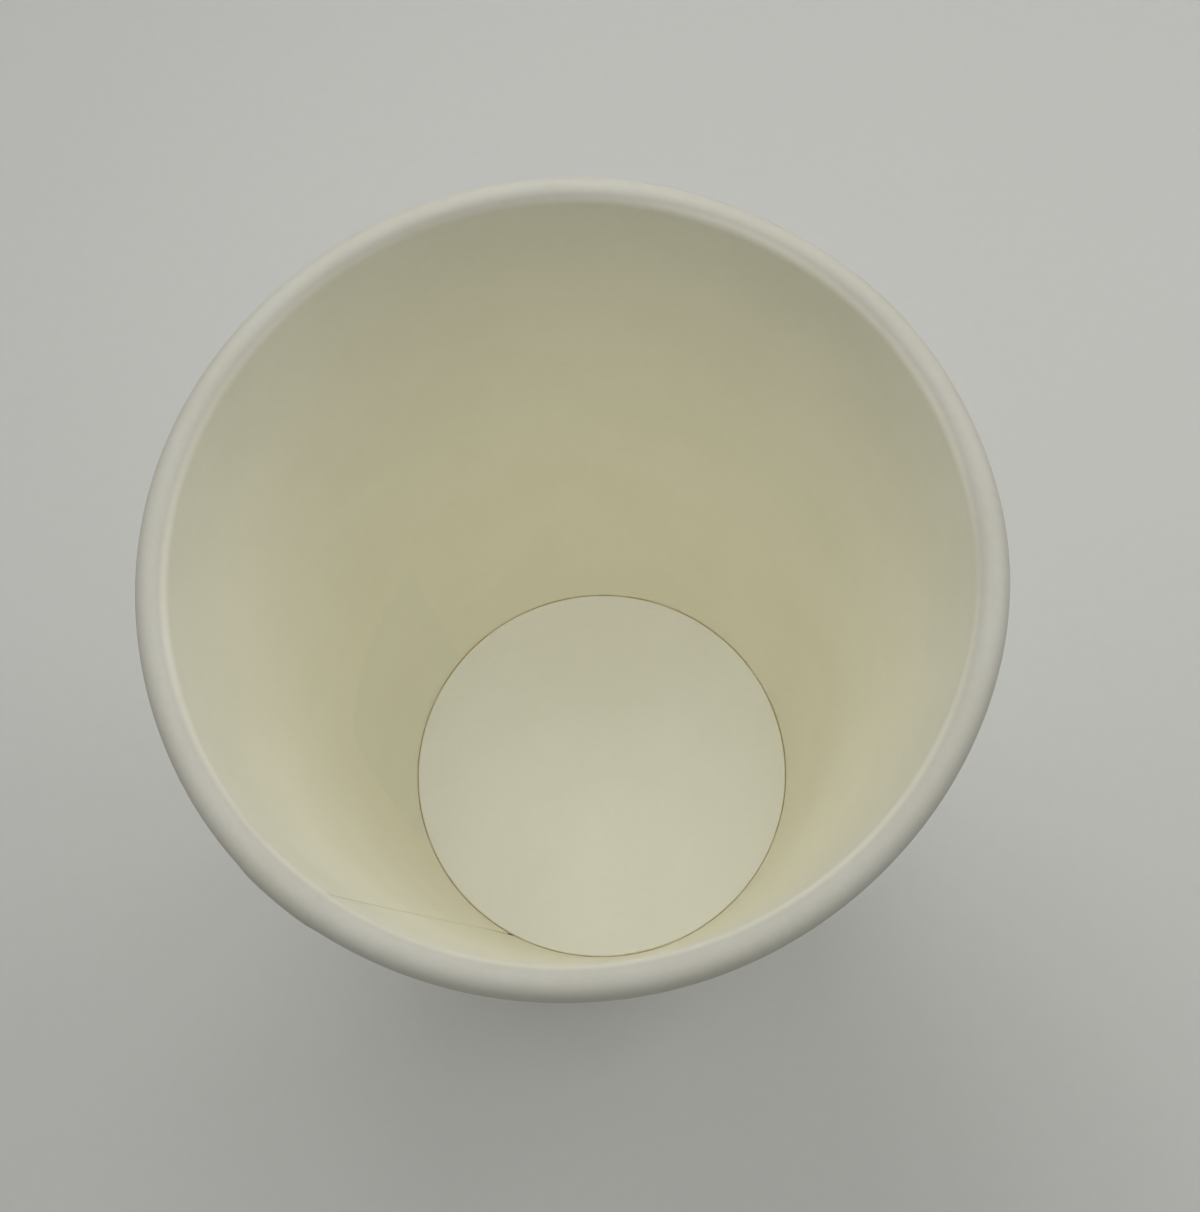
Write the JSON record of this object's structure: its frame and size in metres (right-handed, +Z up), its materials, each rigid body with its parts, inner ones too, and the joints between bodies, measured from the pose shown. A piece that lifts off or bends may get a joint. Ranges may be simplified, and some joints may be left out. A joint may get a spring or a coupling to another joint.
{
  "type": "paper cup",
  "caption": "Single-wall paper cup for a hot drink: conical wrapped wall, rolled rim, and a raised bottom held in the folded base.",
  "frame": {"origin": "centre of the ring that the cup stands on, on the table", "axes": "+Z up along the cup's axis, +X to the right and +Y away from the viewer in the picture"},
  "size_m": [0.09, 0.09, 0.1121],
  "materials": {
    "wall_board": "coated inside, plain outside",
    "bottom_board": "coated above, plain below"
  },
  "bodies": {
    "root": {"side_wall": "wall_board", "bottom": "bottom_board"}
  },
  "joints": []
}
